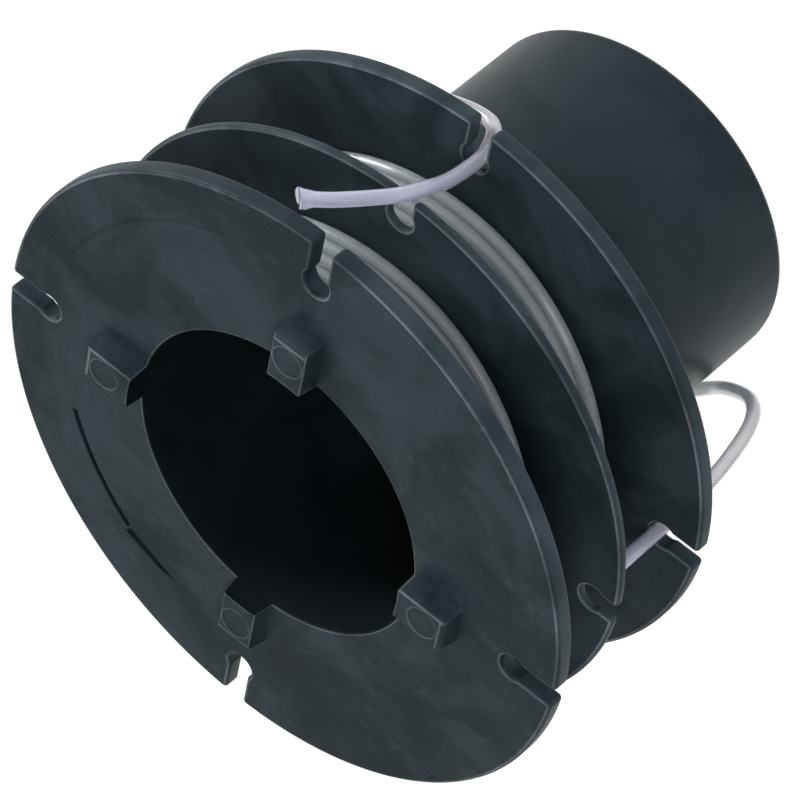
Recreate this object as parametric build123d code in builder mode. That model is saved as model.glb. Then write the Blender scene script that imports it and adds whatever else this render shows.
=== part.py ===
from build123d import *
from math import atan, cos, degrees, pi, radians, sin, tan
import os

# Twin-line spool for the head of a grass string trimmer, in millimetres.
# The origin is the centre of the bump knob's end face. +Z runs up the spool's axis, so the
# drive face with its lugs is at the top. Angles run counter-clockwise seen from above.

# Nylon line and the layers it is wound in
line_diameter = 1.4
winding_layers = 3
layer_pitch = 1.48
winding_clearance = 0.05

# Sleeve with the bump knob, barrel and bore
sleeve_radius = 17.6
sleeve_length = 27.8
sleeve_wall = 1.8
end_wall = 2.2
sleeve_end_rounding = 0.75
bore_mouth_rounding = 0.25

# Flanges, from the knob side up to the drive side
knob_flange_radius = 31.2
knob_flange_thickness = 1.65
middle_flange_radius = 30.0
middle_flange_thickness = 0.95
drive_flange_radius = 32.0
drive_flange_thickness = 1.85
lower_channel_height = 8.95
upper_channel_height = 9.1
rim_rounding = 0.4

# Keyhole notches that park a line end, one below each lug
notch_angles = (0, 90, 180, 270)
notch_clearance = 0.6
notch_eye_distance = 27.4
notch_mouth_rounding = 0.45

# Drive lugs, with the round mark of an ejector pin on each top
lug_outer_distance = 21.3
lug_base_width = 4.16
lug_top_width = 3.65
lug_height = 2.1
lug_edge_rounding = 0.2
lug_end_rounding = 0.5
pin_mark_radius = 1.6
pin_mark_distance = 18.75
pin_mark_depth = 0.12

# Engraved arrow on the drive face: a curved tail and a straight tapered head
arrow_depth = 0.25
arrow_tail_inner_radius = 24.75
arrow_tail_width = 0.7
tail_start = 204.5
tail_end = 233.8
arrow_head_points = ((24.9, 234.4), (26.0, 234.6), (25.1, 245.0), (24.35, 249.5))

# Sizes that follow from the ones above
bore_radius = sleeve_radius - sleeve_wall
notch_width = line_diameter + notch_clearance
notch_eye_radius = line_diameter / 2 + notch_clearance
knob_flange_bottom = sleeve_length
lower_channel_bottom = knob_flange_bottom + knob_flange_thickness
middle_flange_bottom = lower_channel_bottom + lower_channel_height
upper_channel_bottom = middle_flange_bottom + middle_flange_thickness
drive_flange_bottom = upper_channel_bottom + upper_channel_height
drive_face = drive_flange_bottom + drive_flange_thickness
winding_radius = sleeve_radius + winding_clearance + winding_layers * layer_pitch

# Route of the free end of the lower line as (distance from the axis, angle, height): off the
# winding under the middle flange, down through a keyhole, out in a loop beside the sleeve,
# round behind it, up through the next keyhole and along to a cut end beside the drive flange.
# The heights are for a sleeve of this length, and follow a longer or shorter one.
route_sleeve_length = 27.8
line_end_route = (
    (winding_radius - line_diameter / 2, 38.0, 37.5),
    (22.7, 20.0, 37.5),
    (24.9, 8.5, 37.45),
    (26.9, 0.6, 37.3),
    (26.85, 0.6, 33.7),
    (26.85, 0.5, 29.0),
    (26.9, 0.9, 25.0),
    (26.75, 1.7, 21.6),
    (26.3, 2.1, 18.1),
    (25.5, 1.6, 14.7),
    (24.3, 0.0, 12.1),
    (22.7, -3.9, 10.0),
    (21.0, -10.9, 8.2),
    (19.5, -20.8, 6.5),
    (19.1, -33.0, 4.7),
    (19.3, -47.0, 4.0),
    (20.3, -68.0, 4.9),
    (21.8, -95.0, 9.0),
    (23.0, -125.0, 14.5),
    (24.0, -160.0, 20.0),
    (25.2, -195.0, 23.3),
    (26.1, -225.0, 24.8),
    (26.9, -246.0, 25.4),
    (27.7, -258.0, 25.7),
    (28.7, -264.7, 26.0),
    (29.5, -270.0, 26.8),
    (27.3, -270.7, 28.3),
    (27.3, -270.6, 31.0),
    (28.3, -271.0, 34.0),
    (29.9, -270.9, 37.1),
    (31.0, -270.2, 40.1),
    (31.3, -266.8, 43.0),
    (31.6, -262.6, 46.0),
    (31.9, -260.1, 47.1),
)


def polar(distance, angle, height=0.0):
    """The point at that distance from the axis, angle in degrees and height."""
    return Vector(distance * cos(radians(angle)), distance * sin(radians(angle)), height)


def make_flange(flange_radius, thickness, bottom):
    """A ring from the bore out, with four keyhole notches and rounded edges."""
    with BuildPart() as flange:
        with BuildSketch(Plane.XY.offset(bottom)) as outline:
            Circle(flange_radius)
            for angle in notch_angles:
                with Locations(Location(polar(notch_eye_distance, angle), (0, 0, angle))):
                    Circle(notch_eye_radius, mode=Mode.SUBTRACT)
                    Rectangle(
                        flange_radius,
                        notch_width,
                        align=(Align.MIN, Align.CENTER),
                        mode=Mode.SUBTRACT,
                    )
            mouth_corners = [
                corner
                for corner in outline.vertices()
                if Vector(corner.X, corner.Y).length > flange_radius - notch_width / 2
            ]
            fillet(mouth_corners, notch_mouth_rounding)
        extrude(amount=thickness)
        fillet(flange.faces().filter_by(Axis.Z).edges(), min(rim_rounding, 0.45 * thickness))
        with BuildSketch(Plane.XY.offset(bottom)):
            Circle(bore_radius)
        extrude(amount=thickness, mode=Mode.SUBTRACT)
    return flange.part


def make_ring(inner_radius, outer_radius, bottom, height):
    """A plain ring round the axis."""
    with BuildPart() as ring:
        with BuildSketch(Plane.XY.offset(bottom)):
            Circle(outer_radius)
            Circle(inner_radius, mode=Mode.SUBTRACT)
        extrude(amount=height)
    return ring.part


# The moulded body is one moulding on the real spool. Its nodes meet face to face: the sleeve
# with the knob, then flange, barrel, flange, barrel and flange, all round the same bore.
with BuildPart() as knob_sleeve:
    with BuildSketch():
        Circle(sleeve_radius)
    extrude(amount=sleeve_length)
    fillet(knob_sleeve.faces().sort_by(Axis.Z)[0].edges(), sleeve_end_rounding)
    with BuildSketch(Plane.XY.offset(end_wall)):
        Circle(bore_radius)
    extrude(amount=sleeve_length, mode=Mode.SUBTRACT)

knob_side_flange = make_flange(knob_flange_radius, knob_flange_thickness, knob_flange_bottom)
lower_barrel = make_ring(bore_radius, sleeve_radius, lower_channel_bottom, lower_channel_height)
middle_flange = make_flange(
    middle_flange_radius, middle_flange_thickness, middle_flange_bottom
)
upper_barrel = make_ring(bore_radius, sleeve_radius, upper_channel_bottom, upper_channel_height)

# A drive lug, drawn in line with +X: drafted sides, a rounded outer end and a pin mark on top.
# It starts inside the bore, which trims it flush, and below the face, under the rounded mouth.
lug_draft = degrees(atan((lug_base_width - lug_top_width) / 2 / lug_height))
lug_inner_distance = bore_radius - 2 * lug_height
lug_top = drive_face + lug_height
with BuildPart() as drive_lug:
    with BuildSketch(Plane.XY.offset(drive_face)) as lug_base:
        with Locations((lug_inner_distance, 0)):
            Rectangle(
                lug_outer_distance - lug_inner_distance,
                lug_base_width,
                align=(Align.MIN, Align.CENTER),
            )
    extrude(amount=lug_height, taper=lug_draft)
    top_edges = drive_lug.faces().sort_by(Axis.Z)[-1].edges()
    fillet(top_edges.filter_by(Axis.Y).sort_by(Axis.X)[-1], lug_end_rounding)
    side_edges = drive_lug.edges().filter_by(Axis.X).sort_by(Axis.Z)[-2:]
    fillet(side_edges, lug_edge_rounding)
    extrude(lug_base.sketch, amount=-bore_mouth_rounding)
    with BuildSketch(Plane((pin_mark_distance, 0, lug_top))):
        Circle(pin_mark_radius)
    extrude(amount=-pin_mark_depth, mode=Mode.SUBTRACT)

with BuildPart() as drive_flange:
    add(make_flange(drive_flange_radius, drive_flange_thickness, drive_flange_bottom))
    top_circles = drive_flange.edges().filter_by(GeomType.CIRCLE).group_by(Axis.Z)[-1]
    bore_mouth = [edge for edge in top_circles if abs(edge.radius - bore_radius) < 0.01]
    fillet(bore_mouth, bore_mouth_rounding)
    for angle in notch_angles:
        add(drive_lug.part, rotation=(0, 0, angle))
    with BuildSketch(Plane.XY.offset(drive_flange_bottom)):
        Circle(bore_radius)
    extrude(amount=drive_flange_thickness + lug_height, mode=Mode.SUBTRACT)
    with BuildSketch(Plane.XY.offset(drive_face)):
        with BuildLine():
            tail_outer_radius = arrow_tail_inner_radius + arrow_tail_width
            for radius in (arrow_tail_inner_radius, tail_outer_radius):
                CenterArc((0, 0), radius, tail_start, tail_end - tail_start)
            for angle in (tail_start, tail_end):
                Line(polar(arrow_tail_inner_radius, angle), polar(tail_outer_radius, angle))
        make_face()
        with BuildLine():
            Polyline(*[polar(*point) for point in arrow_head_points], close=True)
        make_face()
    extrude(amount=-arrow_depth, mode=Mode.SUBTRACT)

# The outer shape of two lengths of line, each wound on its barrel and filling its channel
winding_inner_radius = sleeve_radius + winding_clearance
lower_line_winding = make_ring(
    winding_inner_radius, winding_radius, lower_channel_bottom, lower_channel_height
)
upper_line_winding = make_ring(
    winding_inner_radius, winding_radius, upper_channel_bottom, upper_channel_height
)

# Free end of the lower line: below the knob-side flange its heights stretch with the sleeve,
# and above that they rise with the flange
route = []
for distance, angle, height in line_end_route:
    if height < route_sleeve_length:
        route.append(polar(distance, angle, height * sleeve_length / route_sleeve_length))
    else:
        route.append(polar(distance, angle, height - route_sleeve_length + sleeve_length))
runs = [end - start for start, end in zip(route, route[1:])]
bends = []
for arriving, leaving in zip(runs, runs[1:]):
    turn = radians(arriving.get_angle(leaving))
    bends.append(0.45 * min(arriving.length, leaving.length) / tan(turn / 2))

with BuildPart() as line_end:
    with BuildLine() as line_end_path:
        FilletPolyline(*route, radius=bends)
    with BuildSketch(Plane(line_end_path.wire() @ 0, z_dir=line_end_path.wire() % 0)):
        Circle(line_diameter / 2)
    sweep()

line_length = line_end_path.wire().length
print("bend radii of the line end:", [round(bend, 1) for bend in bends])
print("runs of the line end:", [round(run.length, 1) for run in runs])
print("line end length:", round(line_length, 1))
tube_volume = pi * line_diameter**2 / 4 * line_length
print("volume over section times length:", round(line_end.part.volume / tube_volume, 4))

sub_parts = {
    "knob_sleeve": knob_sleeve.part,
    "knob_side_flange": knob_side_flange,
    "lower_barrel": lower_barrel,
    "middle_flange": middle_flange,
    "upper_barrel": upper_barrel,
    "drive_flange": drive_flange.part,
    "lower_line_winding": lower_line_winding,
    "upper_line_winding": upper_line_winding,
    "lower_line_end": line_end.part,
}
os.makedirs("parts", exist_ok=True)
for name, part in sub_parts.items():
    part.label = name
    export_step(part, f"parts/{name}.step")
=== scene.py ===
from math import atan2, cos, pi, radians, sin, sqrt

import bmesh
import bpy
from mathutils import Matrix, Vector, noise
from mathutils.geometry import delaunay_2d_cdt


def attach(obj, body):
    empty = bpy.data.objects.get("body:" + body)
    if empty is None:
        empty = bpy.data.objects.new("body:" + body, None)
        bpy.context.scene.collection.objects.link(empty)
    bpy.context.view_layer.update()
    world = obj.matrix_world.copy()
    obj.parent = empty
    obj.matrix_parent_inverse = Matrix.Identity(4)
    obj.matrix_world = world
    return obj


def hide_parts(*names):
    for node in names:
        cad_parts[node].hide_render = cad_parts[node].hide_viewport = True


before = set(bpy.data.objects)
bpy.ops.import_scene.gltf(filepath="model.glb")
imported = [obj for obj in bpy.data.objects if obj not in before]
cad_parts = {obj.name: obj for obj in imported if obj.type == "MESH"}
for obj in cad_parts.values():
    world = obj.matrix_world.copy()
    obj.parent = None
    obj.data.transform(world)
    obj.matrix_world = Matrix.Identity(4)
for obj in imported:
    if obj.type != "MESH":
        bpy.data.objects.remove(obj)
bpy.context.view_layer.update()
mm = 0.001


# Moulded body: sleeve with the bump knob, two barrels and three flanges, one moulding of
# charcoal nylon with a satin skin. Handling has left cloudy smears and swirls on the drive
# face. Its thin pale edges are painted highlights, and the sleeve, the bore and the arrow's
# groove are darkened as painted shade. Part of a ring from the mould's turning shows outside the
# lugs.
class Value:
    """One socket's value in a finish. Arithmetic with numbers or other values adds Math nodes."""

    def __init__(self, finish, socket):
        self.finish = finish
        self.socket = socket

    def __add__(self, other):
        return self.finish.maths("ADD", self, other)

    def __sub__(self, other):
        return self.finish.maths("SUBTRACT", self, other)

    def __rsub__(self, other):
        return self.finish.maths("SUBTRACT", other, self)

    def __mul__(self, other):
        return self.finish.maths("MULTIPLY", self, other)

    __radd__ = __add__
    __rmul__ = __mul__


class Finish:
    """A material and the nodes that make its finish."""

    def __init__(self, name, **constants):
        self.material = bpy.data.materials.new(name)
        self.material.use_nodes = True
        self.surface = self.material.node_tree.nodes["Principled BSDF"]
        for socket, constant in constants.items():
            self.surface.inputs[socket.replace("_", " ")].default_value = constant

    def node(self, kind, settings=None, sockets=None, output=0):
        """Adds a node: its settings first, then the values or links of its sockets."""
        made = self.material.node_tree.nodes.new(kind)
        for name, setting in (settings or {}).items():
            setattr(made, name, setting)
        for name, given in (sockets or {}).items():
            if isinstance(given, Value):
                self.material.node_tree.links.new(given.socket, made.inputs[name])
            else:
                made.inputs[name].default_value = given
        return Value(self, made.outputs[output])

    def maths(self, operation, *terms):
        return self.node("ShaderNodeMath", {"operation": operation}, dict(enumerate(terms)))

    def highest(self, value, *others):
        for other in others:
            value = self.maths("MAXIMUM", value, other)
        return value

    def ease(self, value, start, end):
        """0 before start, 1 after end and smooth between them; start may be the larger."""
        limits = {"Value": value, "From Min": start, "From Max": end}
        return self.node("ShaderNodeMapRange", {"interpolation_type": "SMOOTHSTEP"}, limits)

    def band(self, value, middle, half_width):
        """1 at the middle, falling to 0 at half_width on each side."""
        distance = self.maths("ABSOLUTE", value - middle)
        return self.ease(distance, half_width, 0)

    def places(self):
        """Object coordinates: as one vector, along X, Y and Z, and away from the axis."""
        place = self.node("ShaderNodeTexCoord", output=3)
        x, y, z = [
            self.node("ShaderNodeSeparateXYZ", {}, {"Vector": place}, output=axis)
            for axis in range(3)
        ]
        return place, x, y, z, self.maths("SQRT", x * x + y * y)

    def mix(self, share, under, over):
        """Two colours, more of the second where share is larger."""
        sockets = {0: share, 6: under, 7: over}
        return self.node("ShaderNodeMix", {"data_type": "RGBA"}, sockets, output=2)

    def grain(self, place, scale, detail=2.0, roughness=0.5, distortion=0.0):
        sockets = {
            "Vector": place,
            "Scale": scale,
            "Detail": detail,
            "Roughness": roughness,
            "Distortion": distortion,
        }
        return self.node("ShaderNodeTexNoise", {"normalize": True}, sockets)

    def stretched(self, place, scale):
        """The same place with its axes scaled, which draws a pattern out into streaks."""
        return self.node("ShaderNodeMapping", {}, {"Vector": place, "Scale": scale})

    def bump(self, height, distance, strength):
        sockets = {"Height": height, "Distance": distance, "Strength": strength}
        self.feed("Normal", self.node("ShaderNodeBump", {}, sockets))

    def feed(self, socket, value):
        self.material.node_tree.links.new(value.socket, self.surface.inputs[socket])


bore_radius = 15.8
sleeve_top = 27.8
drive_face = 50.3
lug_height = 2.1
lug_top = drive_face + lug_height
pin_distance = 18.75
pin_radius = 1.6
arrow_inner_distance = 24.0
arrow_outer_distance = 26.3
turning_ring_radius = 27.1
fade_starts = 6 * mm
fade_ends = 10 * mm
lug_rim_across = 1.8
lug_rim_along = 20.62
swirls_per_metre = 1500
swirls_per_radian = 4
mould_black = (0.006, 0.0120, 0.015, 1)
rubbed_grey = (0.041, 0.058, 0.067, 1)
# Pale grey of the painted highlights along edges
edge_highlight_grey = (0.19, 0.21, 0.23, 1)
# Near black for the painted shade inside the bore
painted_bore_shade = (0.0, 0.0015, 0.002, 1)

nylon = Finish("charcoal_nylon", IOR=1.5, Specular_IOR_Level=0.12)
nylon.surface.inputs["Specular Tint"].default_value = (0.74, 0.92, 1.0, 1)
place, x, y, height, distance = nylon.places()


def nylon_from(value, start, end):
    """0 at start to 1 at end, both in millimetres."""
    return nylon.ease(value, start * mm, end * mm)


def nylon_line(value, middle, half_width):
    """A soft line at the middle, both in millimetres."""
    return nylon.band(value, middle * mm, half_width * mm)


on_drive_face = nylon_from(height, drive_face - 0.15, drive_face - 0.02)
on_lug_top = nylon_from(height, lug_top - 0.28, lug_top - 0.1)
on_sleeve = nylon_from(height, sleeve_top + 0.15, sleeve_top - 0.1)
in_bore = nylon_from(distance, bore_radius + 0.18, bore_radius + 0.05)

# Clouds, fine speckle, smears and swirls round the axis
clouds = nylon.grain(place, scale=75, detail=5.0, roughness=0.6, distortion=0.8)
patches = nylon.ease(clouds, 0.34, 0.66)
speckle = nylon.grain(place, scale=2600, detail=2.0, roughness=0.6)
drawn_out = nylon.stretched(place, (60, 150, 100))
smears = nylon.grain(drawn_out, scale=4, detail=5.0, roughness=0.62, distortion=1.6)
smear_mask = nylon.ease(smears, 0.5, 0.72) * on_drive_face
round_axis = nylon.maths("ARCTAN2", y, x)
swirl_place = {0: distance * swirls_per_metre, 1: round_axis * swirls_per_radian}
swirl_place = nylon.node("ShaderNodeCombineXYZ", {}, swirl_place)
swirls = nylon.grain(swirl_place, scale=1, detail=3.0, roughness=0.6, distortion=0.3)
swirl_mask = nylon.ease(swirls, 0.5, 0.75) * nylon.ease(smears, 0.42, 0.6) * on_drive_face

# Part of a turning ring, in one quarter of the drive face only
turning_ring = nylon_line(distance, turning_ring_radius, 0.28) * on_drive_face
turning_ring = turning_ring * nylon.ease(x, -fade_starts, -fade_ends)
turning_ring = turning_ring * nylon.ease(y, fade_starts, fade_ends)

# Painted highlights on edges: flange rims, the mouth of the bore, the lugs' tops and their pin
# marks. The four lugs lie along X and Y, so the larger of |x| and |y| runs along a lug and the
# smaller across.
along_lug = nylon.highest(nylon.maths("ABSOLUTE", x), nylon.maths("ABSOLUTE", y))
across_lug = nylon.maths("MINIMUM", nylon.maths("ABSOLUTE", x), nylon.maths("ABSOLUTE", y))
past_pin = along_lug - pin_distance * mm
from_pin = nylon.maths("SQRT", past_pin * past_pin + across_lug * across_lug)
pin_ring = nylon_line(from_pin, pin_radius + 0.02, 0.13)
lug_sides = nylon_line(across_lug, lug_rim_across, 0.14)
lug_rim = nylon.highest(lug_sides, nylon_line(along_lug, lug_rim_along, 0.2))
lug_highlight = nylon.highest(lug_rim * 0.8, pin_ring * 0.6) * on_lug_top
mouth_highlight = nylon_line(distance, bore_radius + 0.13, 0.13)
mouth_highlight = mouth_highlight * nylon_from(height, drive_face - 0.3, drive_face - 0.1)
rim_highlight = nylon.node("ShaderNodeAttribute", {"attribute_name": "painted_edge_highlight"}, output=2)
edge_highlight_mask = nylon.highest(rim_highlight * 0.95, mouth_highlight * 0.8, lug_highlight)
edge_highlight_mask = edge_highlight_mask * (0.25 + 0.75 * patches)

# Floor of the engraved arrow, darkened as painted shade in the groove
groove_shade = nylon_from(height, drive_face - 0.06, drive_face - 0.18)
groove_shade = groove_shade * nylon_from(height, drive_face - 0.4, drive_face - 0.3)
groove_shade = groove_shade * nylon_from(distance, arrow_inner_distance - 0.4, arrow_inner_distance)
groove_shade = groove_shade * nylon_from(distance, arrow_outer_distance + 0.3, arrow_outer_distance)

shade = 0.06 + 0.55 * patches + 0.2 * speckle + 0.14 * smear_mask + 0.3 * swirl_mask
# Darker on the sleeve and on the floor of the arrow's groove: painted shade.
shade = (shade - 0.22 * turning_ring) * (1 - 0.7 * on_sleeve) * (1 - 0.85 * groove_shade)
# Painted highlights along the edges lighten the colour towards pale grey.
colour = nylon.mix(edge_highlight_mask, nylon.mix(shade, mould_black, rubbed_grey), edge_highlight_grey)
# Inside the bore the colour is taken almost to black: painted shade.
nylon.feed("Base Color", nylon.mix(in_bore * 0.85, colour, painted_bore_shade))
nylon.feed("Roughness", 0.36 + 0.16 * clouds + 0.08 * speckle - 0.1 * on_sleeve + 0.15 * in_bore)
relief = 0.5 * speckle + 0.35 * clouds + 0.4 * smear_mask - 0.5 * turning_ring
nylon.bump(relief, distance=0.04 * mm, strength=0.5)

for name in ("knob_sleeve", "lower_barrel", "upper_barrel"):
    for place_on_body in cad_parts[name].material_slots:
        place_on_body.material = nylon.material


# Three flanges: rings of the same moulding with rounded rims and four keyhole notches each.
# They stand in for the solid model's flanges with finer facets, so their rims run true. The
# drive flange carries an engraved arrow and four lugs, each with a round ejector pin mark.
knob_flange_radius = 31.2
knob_flange_thickness = 1.65
middle_flange_radius = 30.0
middle_flange_bottom = 38.4
middle_flange_thickness = 0.95
drive_flange_radius = 32.0
drive_flange_thickness = 1.85
bore_mouth_rounding = 0.25
rim_rounding = 0.4
notch_half_width = 1.0
notch_eye_radius = 1.3
notch_eye_distance = 27.4
notch_mouth_rounding = 0.45
notch_neck_rounding = 0.42
rounding_steps = 6
eye_steps = 20
neck_steps = 5
mouth_steps = 8
rim_steps = 60
bore_steps = 240
# Strength of the painted edge highlight on the three rings nearest the flat
highlight_falloff = (1.0, 0.6, 0.1)
sharp_edge_angle = radians(30)
TRIANGLES_INSIDE = 1


def spaced(start, end, count):
    return [start + (end - start) * step / count for step in range(count + 1)]


def arc(middle, radius, start, end, count, outwards=1):
    """Points of an arc, each with its direction out of the material; angles in radians."""
    found = []
    for angle in spaced(start, end, count):
        direction = Vector((cos(angle), sin(angle)))
        found.append((Vector(middle) + radius * direction, outwards * direction))
    return found


def flange_outline(radius):
    """Once round a flange's edge as (point, direction out of the material), in millimetres."""
    neck_height = notch_half_width + notch_neck_rounding
    neck_reach = sqrt((notch_eye_radius + notch_neck_rounding) ** 2 - neck_height**2)
    neck = (notch_eye_distance + neck_reach, neck_height)
    neck_angle = atan2(neck_height, neck_reach)
    mouth_height = notch_half_width + notch_mouth_rounding
    mouth_reach = sqrt((radius - notch_mouth_rounding) ** 2 - mouth_height**2)
    mouth_angle = atan2(mouth_height, mouth_reach)
    half = arc((notch_eye_distance, 0), notch_eye_radius, pi, neck_angle, eye_steps, -1)
    half += arc(neck, notch_neck_rounding, neck_angle - pi, -pi / 2, neck_steps)
    mouth = (mouth_reach, mouth_height)
    half += arc(mouth, notch_mouth_rounding, -pi / 2, mouth_angle, mouth_steps)
    half += arc((0, 0), radius, mouth_angle, pi / 4, rim_steps)[1:]
    other_half = [
        (Vector((p.x, -p.y)), Vector((way.x, -way.y))) for p, way in reversed(half[1:-1])
    ]
    outline = []
    for quarter in range(4):
        turn = Matrix.Rotation(quarter * pi / 2, 2)
        outline += [(turn @ p, turn @ way) for p, way in other_half + half]
    return outline


def circle(radius, middle=(0, 0), count=bore_steps):
    return [p for p, way in arc(middle, radius, 0, 2 * pi, count)[:-1]]


def loop_of(body, points, height):
    return [body.verts.new((p[0] * mm, p[1] * mm, height * mm)) for p in points]


def wall_between(body, loops, smooth_wall=True):
    """Faces between loops of equally many corners, each loop joined to the next one."""
    for lower, upper in zip(loops, loops[1:]):
        for corner in range(len(lower)):
            after = (corner + 1) % len(lower)
            face = body.faces.new((lower[corner], lower[after], upper[after], upper[corner]))
            face.smooth = smooth_wall


def encloses(ring, place):
    """Whether that place lies inside the closed ring."""
    crossings = 0
    for a, b in zip(ring, ring[1:] + ring[:1]):
        if (a.y > place.y) != (b.y > place.y):
            crossings += place.x < a.x + (place.y - a.y) * (b.x - a.x) / (b.y - a.y)
    return crossings % 2 == 1


def flat_between(body, *loops):
    """A flat face bounded by the first loop, with the other loops as holes."""
    corners = [corner for loop in loops for corner in loop]
    rings = [[corner.co.xy / mm for corner in loop] for loop in loops]
    places = [place for ring in rings for place in ring]
    edges = []
    for loop in loops:
        first = corners.index(loop[0])
        edges += [(first + step, first + (step + 1) % len(loop)) for step in range(len(loop))]
    found = delaunay_2d_cdt(places, edges, [], TRIANGLES_INSIDE, 1e-6)
    for triangle in found[2]:
        middle = sum((found[0][corner] for corner in triangle), Vector((0, 0))) / 3
        if not any(encloses(ring, middle) for ring in rings[1:]):
            face = body.faces.new([corners[found[3][corner][0]] for corner in triangle])
            face.smooth = False


def new_body():
    """An empty mesh whose corners can say how strong an edge's painted highlight is."""
    body = bmesh.new()
    body.verts.layers.float.new("painted_edge_highlight")
    return body


def add_flange(body, radius, bottom, thickness, mouth_rounding=0, holes=()):
    """One flange with a rounded rim; mouth_rounding is at the top of its bore.

    The holes are loops in its top face.
    """
    outline = flange_outline(radius)
    top = bottom + thickness
    highlight_layer = body.verts.layers.float["painted_edge_highlight"]
    rim = []
    for turn in spaced(0, pi / 2, rounding_steps):
        inset = rim_rounding * (1 - sin(turn))
        edge = [p - inset * way for p, way in outline]
        rim.append((edge, rim_rounding * (1 - cos(turn))))
    lower_half = [loop_of(body, edge, bottom + rise) for edge, rise in rim]
    upper_half = [loop_of(body, edge, top - rise) for edge, rise in reversed(rim)]
    wall_between(body, lower_half + upper_half)
    # The painted highlight is strongest just outside the flat, and stays off its own corners.
    for edge, highlight_strength in zip(reversed(upper_half[:-1]), highlight_falloff):
        for corner in edge:
            corner[highlight_layer] = highlight_strength
    bore = [loop_of(body, circle(bore_radius), bottom)]
    bore.append(loop_of(body, circle(bore_radius), top - mouth_rounding))
    if mouth_rounding:
        for turn in spaced(0, pi / 2, rounding_steps)[1:]:
            edge = circle(bore_radius + mouth_rounding * (1 - cos(turn)))
            bore.append(loop_of(body, edge, top - mouth_rounding * (1 - sin(turn))))
    wall_between(body, bore)
    flat_between(body, lower_half[0], bore[0])
    flat_between(body, upper_half[-1], bore[-1], *holes)


def sunk(body, points, height, depth):
    """A shallow hole with that outline from height down; gives its loop at the top."""
    top = loop_of(body, points, height)
    bottom = loop_of(body, points, height - depth)
    wall_between(body, [top, bottom], smooth_wall=False)
    flat_between(body, bottom)
    return top


def finished(name, body, replaced):
    """Makes the piece from its mesh and lets it stand for the solid model's nodes."""
    bmesh.ops.recalc_face_normals(body, faces=body.faces)
    for edge in body.edges:
        edge.smooth = edge.calc_face_angle(0) < sharp_edge_angle
    mesh = bpy.data.meshes.new(name)
    body.to_mesh(mesh)
    body.free()
    mesh.materials.append(nylon.material)
    piece = bpy.data.objects.new(name, mesh)
    bpy.context.scene.collection.objects.link(piece)
    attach(piece, "root")
    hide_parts(replaced)


body = new_body()
add_flange(body, knob_flange_radius, sleeve_top, knob_flange_thickness)
finished("knob_flange", body, "knob_side_flange")

body = new_body()
add_flange(body, middle_flange_radius, middle_flange_bottom, middle_flange_thickness)
finished("parting_flange", body, "middle_flange")

arrow_depth = 0.25
tail_inner_radius = 24.75
tail_outer_radius = 25.45
tail_start = radians(204.5)
tail_end = radians(233.8)
tail_steps = 40
arrow_head_corners = ((24.9, 234.4), (26.0, 234.6), (25.1, 245.0), (24.35, 249.5))

arrow_tail = arc((0, 0), tail_inner_radius, tail_start, tail_end, tail_steps)
arrow_tail += arc((0, 0), tail_outer_radius, tail_end, tail_start, tail_steps)
arrow_tail = [p for p, way in arrow_tail]
arrow_head = [
    Vector((distance * cos(radians(angle)), distance * sin(radians(angle))))
    for distance, angle in arrow_head_corners
]
body = new_body()
arrow = [sunk(body, points, drive_face, arrow_depth) for points in (arrow_tail, arrow_head)]
add_flange(
    body,
    drive_flange_radius,
    drive_face - drive_flange_thickness,
    drive_flange_thickness,
    mouth_rounding=bore_mouth_rounding,
    holes=arrow,
)

lug_foot = 0.25
lug_outer_distance = 21.3
lug_half_width = 2.08
lug_lean = 0.255 / lug_height
lug_edge_rounding = 0.2
lug_end_rounding = 0.5
pin_mark_depth = 0.12
pin_steps = 48
lug_steps_across = 12
lug_steps_along = 8


def lug_ring(rise, end_inset):
    """A lug's outline at that height above the drive face, in line with +X."""
    into_rounding = max(0, lug_edge_rounding - (lug_height - rise))
    side_inset = lug_edge_rounding - sqrt(max(0, lug_edge_rounding**2 - into_rounding**2))
    half_width = lug_half_width - lug_lean * max(rise, 0) - side_inset
    reach = lug_outer_distance - lug_lean * max(rise, 0) - end_inset
    across = spaced(half_width, -half_width, lug_steps_across)
    inner = [(sqrt(bore_radius**2 - y * y), y) for y in across]
    near_side = [(x, -half_width) for x in spaced(inner[-1][0], reach, lug_steps_along)[1:]]
    end = [(reach, y) for y in spaced(-half_width, half_width, lug_steps_along)[1:]]
    far_side = [(x, half_width) for x in spaced(reach, inner[0][0], lug_steps_along)[1:-1]]
    return inner + near_side + end + far_side


lug_rings = [(-lug_foot, 0), (0, 0)]
for lean in spaced(0, pi / 2, rounding_steps):
    rise = lug_height - lug_end_rounding * (1 - sin(lean))
    lug_rings.append((rise, lug_end_rounding * (1 - cos(lean))))
for quarter in range(4):
    turn = Matrix.Rotation(quarter * pi / 2, 2)
    loops = []
    for rise, end_inset in lug_rings:
        ring = [turn @ Vector(p) for p in lug_ring(rise, end_inset)]
        loops.append(loop_of(body, ring, drive_face + rise))
    wall_between(body, loops)
    pin = turn @ Vector((pin_distance, 0))
    pin_mark = sunk(body, circle(pin_radius, pin, pin_steps), lug_top, pin_mark_depth)
    flat_between(body, loops[-1], pin_mark)
    flat_between(body, loops[0])
finished("lugged_flange", body, "drive_flange")


# Lower line: clear nylon monofilament, 1.4 mm, wound on its barrel in three layers. Each turn
# lies level and steps over to the next one on the side of the spool with the free end, which
# runs down through a keyhole, round the sleeve and up to a cut end beside the drive flange.
line_diameter = 1.4 * mm
turns_side_by_side = 6
points_per_turn = 24
step_starts = 78.0
step_ends = 12.0
climb_starts = 236.0
climb_ends = 206.0
layer_distances = (18.37, 19.85, 21.33)
side_gap = 0.02
lower_channel = (29.45, 38.4)
steps_along_line = 8
steps_round_line = 4
crushed_length = 1.6 * mm
points_in_end = 10
end_flare = 0.45
end_slant = -0.45
torn_scale = 1800
torn_depth = 0.25


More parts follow.
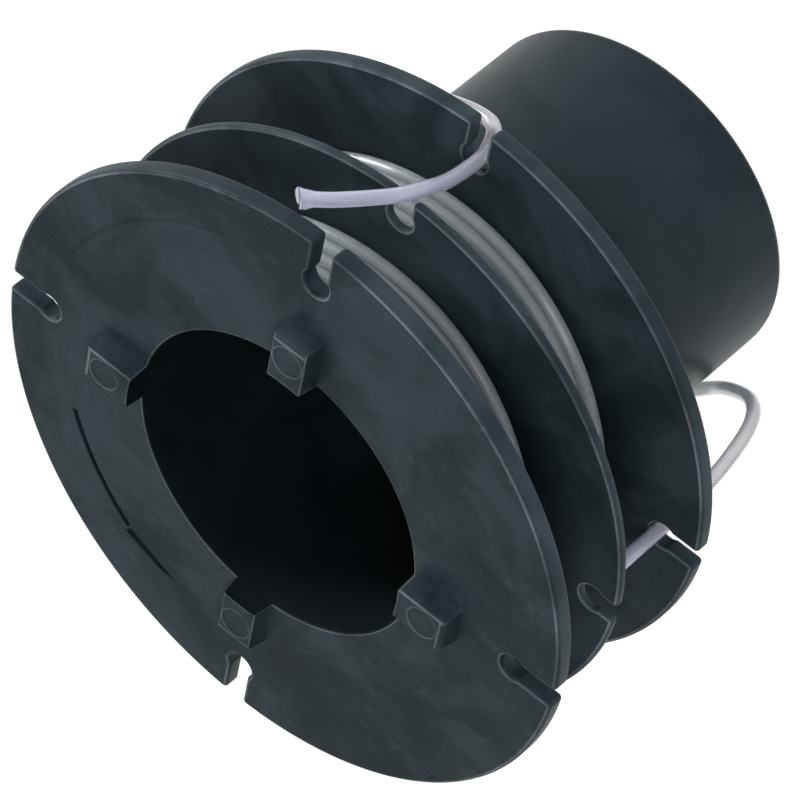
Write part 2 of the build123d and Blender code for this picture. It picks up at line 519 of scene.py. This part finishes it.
def polar(distance, angle, height):
    """The point at that distance from the axis in millimetres, angle in degrees and height."""
    return Vector((distance * cos(radians(angle)), distance * sin(radians(angle)), height)) * mm


def smooth(share):
    share = max(0.0, min(1.0, share))
    return share * share * (3 - 2 * share)


def wound_turns(bottom, top, last_angle):
    """Points of the wound turns, from the barrel out to last_angle on the outermost turn.

    Angles fall along the line. Turn 0 starts where the first step would end.
    """
    steps_in_layer = turns_side_by_side - 1
    lowest = bottom + line_diameter / mm / 2 + side_gap
    pitch = (top - bottom - line_diameter / mm - 2 * side_gap) / steps_in_layer
    layers = len(layer_distances)
    last = layers * steps_in_layer + (step_ends - last_angle) % 360 / 360
    # A quadratic curve runs inside its control points by this share of their distance.
    inside = 0.5 * (cos(pi / points_per_turn) + 0.75 + 0.25 * cos(2 * pi / points_per_turn))
    points = []
    for count in range(int(last * points_per_turn)):
        turned = count / points_per_turn
        angle = step_ends - 360 * turned
        turn = int(turned)
        part = (turned - turn) * 360
        stepping = smooth((part - (step_ends - step_starts) % 360) / (step_starts - step_ends))
        climbing = smooth(
            (part - (step_ends - climb_starts) % 360) / (climb_starts - climb_ends)
        )
        layer = min(turn // steps_in_layer, layers - 1)
        rise = turn + stepping - layer * steps_in_layer
        first_of_layer = turn == layer * steps_in_layer and layer > 0
        outwards = layer - 1 + climbing if first_of_layer else layer
        under = int(outwards)
        over = min(under + 1, layers - 1)
        distance = layer_distances[under] * (1 - outwards + under)
        distance += layer_distances[over] * (outwards - under)
        side = rise if layer % 2 == 0 else steps_in_layer - rise
        waver = 0.03 * sin(1.7 * turned * 2 * pi + layer) + 0.02 * sin(5.1 * turned + 2)
        points.append(polar((distance + waver) / inside, angle, lowest + pitch * side + waver))
    return points


def line_along(name, points):
    """A round line through the pull of those points: its piece and its centre line.

    The outer end is cut off with cutters, so its last stretch is crushed, flared and slanted.
    """
    curve = bpy.data.curves.new(name, "CURVE")
    curve.dimensions = "3D"
    spline = curve.splines.new("NURBS")
    spline.points.add(len(points) - 1)
    for point, position in zip(spline.points, points):
        point.co = (*position, 1)
    spline.order_u = 3
    spline.use_endpoint_u = True
    curve.resolution_u = steps_along_line
    thread = bpy.data.objects.new(name + "_thread", curve)
    bpy.context.scene.collection.objects.link(thread)
    centre_line = [v.co.copy() for v in bpy.data.meshes.new_from_object(thread).vertices]
    curve.bevel_depth = line_diameter / 2
    curve.bevel_resolution = steps_round_line
    curve.use_fill_caps = True
    mesh = bpy.data.meshes.new_from_object(thread)
    bpy.data.objects.remove(thread)
    end = centre_line[-1]
    along = (end - centre_line[-points_in_end]).normalized()
    slant = along.cross(Vector((0, 0, 1)).cross(along)).normalized()
    for vertex in mesh.vertices:
        offset = vertex.co - end
        if offset.length > 2 * crushed_length:
            continue
        reach = offset.dot(along)
        share = smooth(1 + reach / crushed_length)
        across = offset - reach * along
        torn = torn_depth * (noise.noise(vertex.co * torn_scale) - 0.2)
        flare = across * share * (end_flare + torn)
        lean = along * across.dot(slant) * share * end_slant
        vertex.co += flare + lean + along * share * mm * torn
    mesh.name = name
    piece = bpy.data.objects.new(name, mesh)
    bpy.context.scene.collection.objects.link(piece)
    return piece, centre_line


# Distance from the axis, angle and height of each point of the free end
free_end_route = (
    (21.4, 38.0, 37.5),
    (22.7, 20.0, 37.5),
    (24.9, 8.5, 37.45),
    (26.9, 0.6, 37.3),
    (26.85, 0.6, 33.7),
    (26.85, 0.5, 29.0),
    (26.9, 0.9, 25.0),
    (26.75, 1.7, 21.6),
    (26.3, 2.1, 18.1),
    (25.5, 1.6, 14.7),
    (24.3, 0.0, 12.1),
    (22.7, -3.9, 10.0),
    (21.0, -10.9, 8.2),
    (19.5, -20.8, 6.5),
    (19.1, -33.0, 4.7),
    (19.3, -47.0, 4.0),
    (20.3, -68.0, 4.9),
    (21.8, -95.0, 9.0),
    (23.0, -125.0, 14.5),
    (24.0, -160.0, 20.0),
    (25.2, -195.0, 23.3),
    (26.1, -225.0, 24.8),
    (26.9, -246.0, 25.4),
    (27.7, -258.0, 25.7),
    (28.7, -264.7, 26.0),
    (29.5, -270.0, 26.8),
    (27.3, -270.7, 28.3),
    (27.3, -270.6, 31.0),
    (28.3, -271.0, 34.0),
    (29.9, -270.9, 37.1),
    (31.0, -270.2, 40.1),
    (31.3, -266.8, 43.0),
    (31.6, -262.6, 46.0),
    (31.9, -260.1, 47.1),
)
lower_turns = wound_turns(*lower_channel, last_angle=44.0)
free_end = [polar(*point) for point in free_end_route]
lower_line, lower_centre = line_along("lower_line", lower_turns + free_end)

outside_winding = 22.5 * mm
inside_winding = 22.15 * mm
violet_starts = 26 * mm
violet_full = 34 * mm
crush_starts = 0.99935
crush_full = 0.99985
grey_core = (0.30, 0.31, 0.32, 1)
violet_core = (0.36, 0.37, 0.66, 1)
clear_white = (0.95, 0.96, 1.0, 1)
wound_grey = (0.30, 0.36, 0.42, 1)
wound_white = (0.94, 1.0, 1.0, 1)
crushed_white = (1.0, 1.0, 1.0, 1)

clear = Finish("clear_nylon_line", IOR=1.53, Transmission_Weight=0.6, Coat_Weight=0.6)
clear.surface.inputs["Coat Roughness"].default_value = 0.04
place, x, y, height, distance = clear.places()
wound = clear.ease(distance, outside_winding, inside_winding)
cut_end_side = clear.ease(height, violet_starts, violet_full)
haze = clear.grain(place, scale=420, detail=3.0, roughness=0.6, distortion=0.3)
# Draw lines run along the line: its own UV map goes round it in U and along it in V.
unrolled = clear.node("ShaderNodeTexCoord", output=2)
draw_lines = clear.grain(clear.stretched(unrolled, (7, 60, 1)), scale=3, detail=4.0, roughness=0.7)
draw_lines = clear.ease(draw_lines, 0.36, 0.64)
far_along = clear.node("ShaderNodeSeparateXYZ", {}, {"Vector": unrolled}, output=1)
crushed = clear.ease(far_along, crush_starts, crush_full)
tone = 0.35 * haze + 0.65 * draw_lines
free_colour = clear.mix(tone, clear.mix(cut_end_side, grey_core, violet_core), clear_white)
wound_colour = clear.mix(tone, wound_grey, wound_white)
body_colour = clear.mix(wound, free_colour, wound_colour)
clear.feed("Base Color", clear.mix(crushed, body_colour, crushed_white))
clear.feed("Roughness", 0.05 + 0.1 * haze * draw_lines + 0.5 * crushed)
clear.bump(draw_lines + 0.5 * haze, distance=0.02 * mm, strength=0.3)
lower_line.data.materials.append(clear.material)

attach(lower_line, "root")
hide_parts("lower_line_winding", "lower_line_end")


# Upper line: the same line wound on the upper barrel. Its outer end is laid along the last
# turns on the far side of the spool.
upper_channel = (39.35, 48.45)
upper_turns = wound_turns(*upper_channel, last_angle=215.0)
upper_line, upper_centre = line_along("upper_line", upper_turns)
upper_line.data.materials.append(clear.material)
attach(upper_line, "root")
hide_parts("upper_line_winding")


# Floor: a plain white sheet under the knob end, large enough to fill the view.
half = 3.0
floor_corners = [(-half, -half, 0), (half, -half, 0), (half, half, 0), (-half, half, 0)]
floor_mesh = bpy.data.meshes.new("floor")
floor_mesh.from_pydata(floor_corners, [], [(0, 1, 2, 3)])
floor = bpy.data.objects.new("floor", floor_mesh)
bpy.context.scene.collection.objects.link(floor)
paper = Finish("white_paper", Roughness=0.9, Specular_IOR_Level=0.1, Emission_Strength=0.95)
paper.surface.inputs["Base Color"].default_value = (0.2, 0.2, 0.2, 1)
paper.surface.inputs["Emission Color"].default_value = (1, 1, 1, 1)
floor_mesh.materials.append(paper.material)


# Light: an even white surround and three soft panels: a key light, one low at the side that
# picks out the rims, and a weak broad one whose reflection lies on the drive face.
world = bpy.data.worlds.new("surround")
bpy.context.scene.world = world
world.use_nodes = True
world.node_tree.nodes["Background"].inputs["Color"].default_value = (1, 1, 1, 1)
world.node_tree.nodes["Background"].inputs["Strength"].default_value = 0.4


panel_distance = 0.7
spool_middle = Vector((0, 0, 26 * mm))


def soft_panel(name, azimuth, elevation, size, power):
    """A square area light that faces the spool from that direction, in degrees."""
    lamp = bpy.data.lights.new(name, "AREA")
    lamp.size = size
    lamp.energy = power
    panel = bpy.data.objects.new(name, lamp)
    towards = Vector(
        (
            cos(radians(elevation)) * cos(radians(azimuth)),
            cos(radians(elevation)) * sin(radians(azimuth)),
            sin(radians(elevation)),
        )
    )
    panel.matrix_world = Matrix.Translation(spool_middle + towards * panel_distance) @ (
        towards.to_track_quat("Z", "Y").to_matrix().to_4x4()
    )
    bpy.context.scene.collection.objects.link(panel)


soft_panel("key_panel", azimuth=48, elevation=44, size=0.25, power=2.7)
soft_panel("side_panel", azimuth=158, elevation=12, size=0.3, power=4.4)
soft_panel("sheen_panel", azimuth=247, elevation=33, size=0.5, power=0.3)


# Camera: a long lens from above the drive face, rolled so that the knob points up and right.
aim = Vector((3.94, 6.14, 39.31)) * mm
camera_distance = 464 * mm
azimuth = radians(66.95)
elevation = radians(33.198)
roll = radians(-129.471)
forward = -Vector(
    (cos(elevation) * cos(azimuth), cos(elevation) * sin(azimuth), sin(elevation))
)
level_right = forward.cross(Vector((0, 0, 1))).normalized()
level_up = level_right.cross(forward)
right = cos(roll) * level_right + sin(roll) * level_up
up = -sin(roll) * level_right + cos(roll) * level_up
lens = bpy.data.cameras.new("camera")
lens.lens = 237.8
lens.sensor_width = 36
camera = bpy.data.objects.new("camera", lens)
camera.matrix_world = Matrix.Translation(aim - forward * camera_distance) @ (
    Matrix((right, up, -forward)).transposed().to_4x4()
)
bpy.context.scene.collection.objects.link(camera)
bpy.context.scene.camera = camera
bpy.context.scene.view_settings.view_transform = "Standard"
